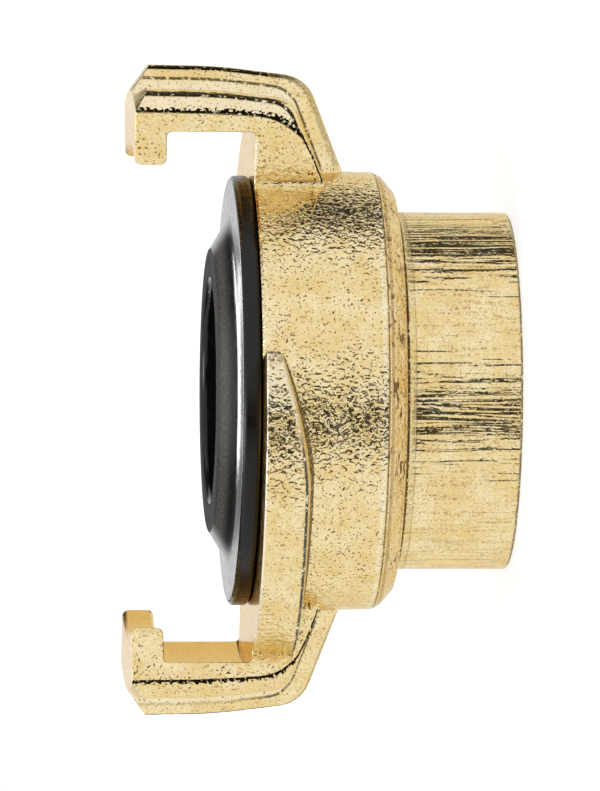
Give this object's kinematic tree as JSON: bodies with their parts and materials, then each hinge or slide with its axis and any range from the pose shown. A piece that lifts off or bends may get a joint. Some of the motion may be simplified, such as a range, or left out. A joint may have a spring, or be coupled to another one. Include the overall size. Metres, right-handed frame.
{
  "type": "claw coupling",
  "caption": "Brass hose claw coupling with two opposite hooked claws, ramps, a rubber face seal and a hub with an internal pipe thread.",
  "frame": {"origin": "centre of the hub's end face, on the coupling's axis", "axes": "+Z along the waterway from the threaded hub to the claws; +X through one claw, with its twin on -X"},
  "size_m": [0.0568, 0.0472, 0.033],
  "materials": {
    "cast_brass": "fine blasted casting with turned hub, shoulder and faces",
    "seal_rubber": "moulded black rubber, satin"
  },
  "bodies": {
    "root": {"coupling_body": "cast_brass", "seal": "seal_rubber"}
  },
  "joints": []
}
